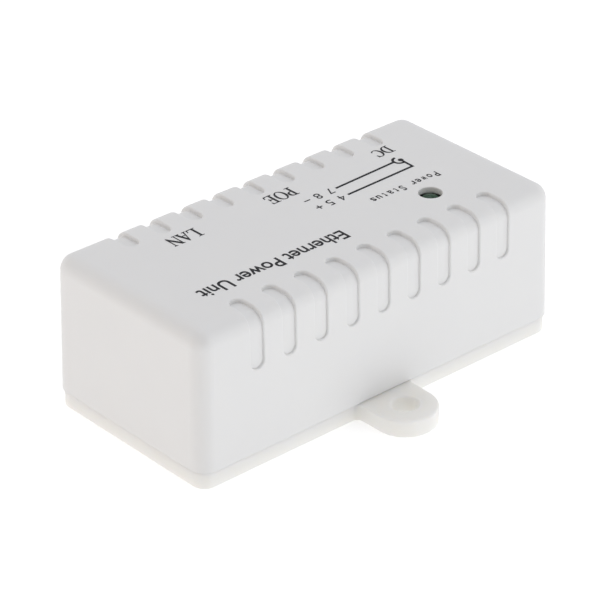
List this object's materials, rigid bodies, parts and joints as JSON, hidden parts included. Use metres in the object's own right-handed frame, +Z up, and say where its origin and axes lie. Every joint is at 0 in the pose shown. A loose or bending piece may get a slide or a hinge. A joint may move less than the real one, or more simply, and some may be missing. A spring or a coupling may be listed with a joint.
{
  "type": "poe injector",
  "caption": "Small white two-port power injector box with a round DC socket, grooved long edges, a status lamp hole and fixing lugs at the base.",
  "frame": {"origin": "centre of the base's underside", "axes": "+X along the case from the LAN end to the DC end, +Y towards the ports, +Z up"},
  "size_m": [0.0858, 0.0646, 0.031],
  "materials": {
    "case_white": "fine satin, moulded ABS",
    "jack_black": "satin, moulded nylon",
    "insert_black": "matt, moulded nylon",
    "contact_gold": "gold-plated spring wire",
    "terminal_tin": "tin plated, satin",
    "pin_nickel": "nickel plated, bright",
    "screw_zinc": "zinc plated",
    "board_green": "glossy solder mask on glass fibre",
    "lamp_green": "tinted clear epoxy",
    "capacitor_aluminium": "drawn aluminium can",
    "capacitor_sleeve": "shrunk sleeve",
    "seal_rubber": "matt rubber",
    "fuse_yellow": "dipped coating",
    "component_black": "moulded epoxy",
    "chip_ceramic": "fired ceramic",
    "chip_film": "glazed resistor film"
  },
  "bodies": {
    "injector": {"cover_shell": "case_white", "base_plate": "case_white", "case_screws": "screw_zinc", "circuit_board": "board_green", "lan_jack_housing": "jack_black", "lan_jack_insert": "insert_black", "lan_contact_roots": "contact_gold", "poe_jack_housing": "jack_black", "poe_jack_insert": "insert_black", "poe_contact_roots": "contact_gold", "dc_jack_housing": "jack_black", "dc_center_pin": "pin_nickel", "dc_sleeve_terminal": "terminal_tin", "dc_switch_terminal": "terminal_tin", "led_lens": "lamp_green", "led_leads": "terminal_tin", "capacitor_can": "capacitor_aluminium", "capacitor_sleeve": "capacitor_sleeve", "capacitor_seal": "seal_rubber", "capacitor_leads": "terminal_tin", "fuse_disc": "fuse_yellow", "fuse_leads": "terminal_tin", "diode_body": "component_black", "diode_leads": "terminal_tin", "surge_diode_body": "component_black", "surge_diode_tabs": "terminal_tin", "magnetics_body": "component_black", "magnetics_leads": "terminal_tin", "chip_resistors": "chip_film", "chip_capacitors": "chip_ceramic"},
    "lan_springs": {"lan_contact_springs": "contact_gold"},
    "poe_springs": {"poe_contact_springs": "contact_gold"},
    "dc_spring": {"dc_sleeve_spring": "pin_nickel"}
  },
  "joints": [
    {"name": "lan_contact_lift", "type": "hinge", "parent": "injector", "child": "lan_springs", "pos_m": [-0.0214, 0.01735, 0.017], "axis": [-1, 0, 0], "range_deg": [0, 14], "stiffness_Nm_per_rad": 0.3},
    {"name": "poe_contact_lift", "type": "hinge", "parent": "injector", "child": "poe_springs", "pos_m": [0.0019, 0.01735, 0.017], "axis": [-1, 0, 0], "range_deg": [0, 14], "stiffness_Nm_per_rad": 0.3},
    {"name": "dc_contact_press", "type": "hinge", "parent": "injector", "child": "dc_spring", "pos_m": [0.0282, 0.0079, 0.00795], "axis": [-1, 0, 0], "range_deg": [0, 4.5], "stiffness_Nm_per_rad": 0.25}
  ]
}
